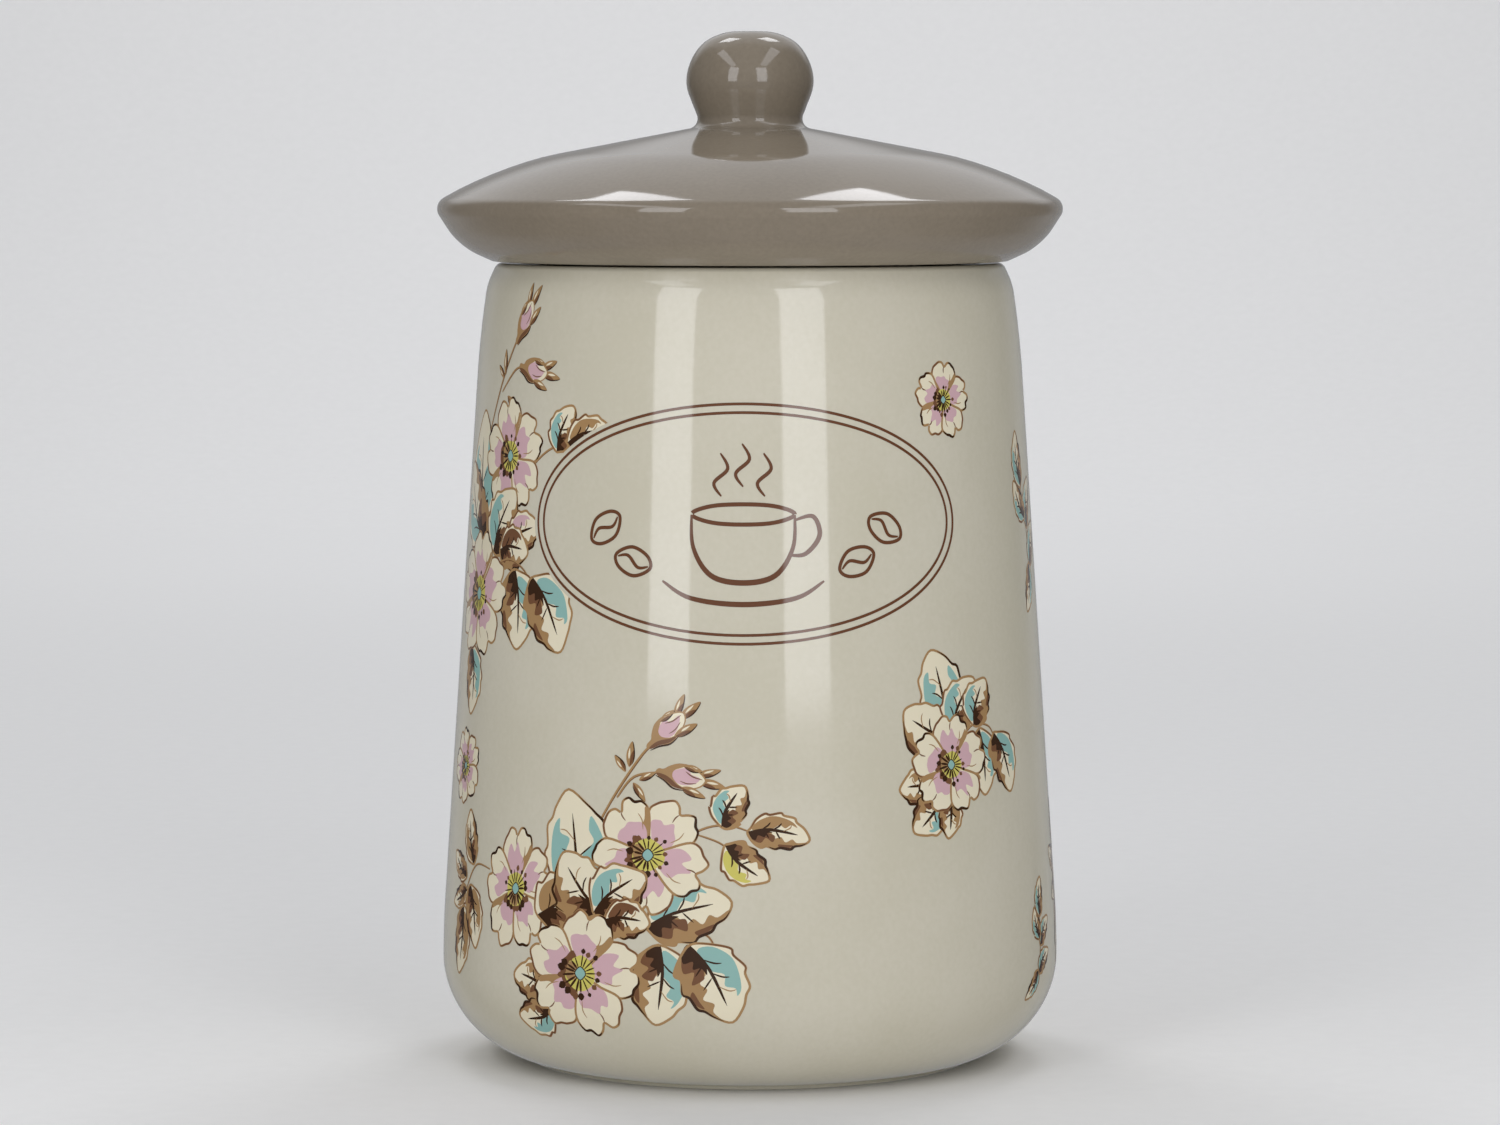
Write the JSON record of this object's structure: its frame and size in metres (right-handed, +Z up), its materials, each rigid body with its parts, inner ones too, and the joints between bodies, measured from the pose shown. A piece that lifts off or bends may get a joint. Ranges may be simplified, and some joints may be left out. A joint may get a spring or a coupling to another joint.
{
  "type": "lidded storage canister",
  "caption": "Tapered round glazed ceramic canister for dry goods, with a lift-off domed lid that has a ball knob and a silicone seal ring round its plug.",
  "frame": {"origin": "centre of the foot ring's bearing face, on the table", "axes": "+Z up through the jar, the lid and the knob; -Y towards the printed label at the front; +X to the right of the label"},
  "size_m": [0.1094, 0.1094, 0.18],
  "materials": {
    "jar_glaze": "satin glaze, cream, printed with flowers",
    "lid_glaze": "gloss glaze, warm taupe",
    "seal_silicone": "matt translucent silicone"
  },
  "bodies": {
    "jar": {"jar": "jar_glaze"},
    "lid_seal": {"lid_seal": "seal_silicone"},
    "lid": {"lid": "lid_glaze"}
  },
  "joints": [
    {"name": "lid_lift", "type": "slide", "parent": "jar", "child": "lid_seal", "axis": [0, 0, 1], "range_m": [0, 0.06]},
    {"name": "lid_turn", "type": "hinge", "parent": "lid_seal", "child": "lid", "pos_m": [0, 0, 0.14], "axis": [0, 0, 1], "continuous": true}
  ]
}
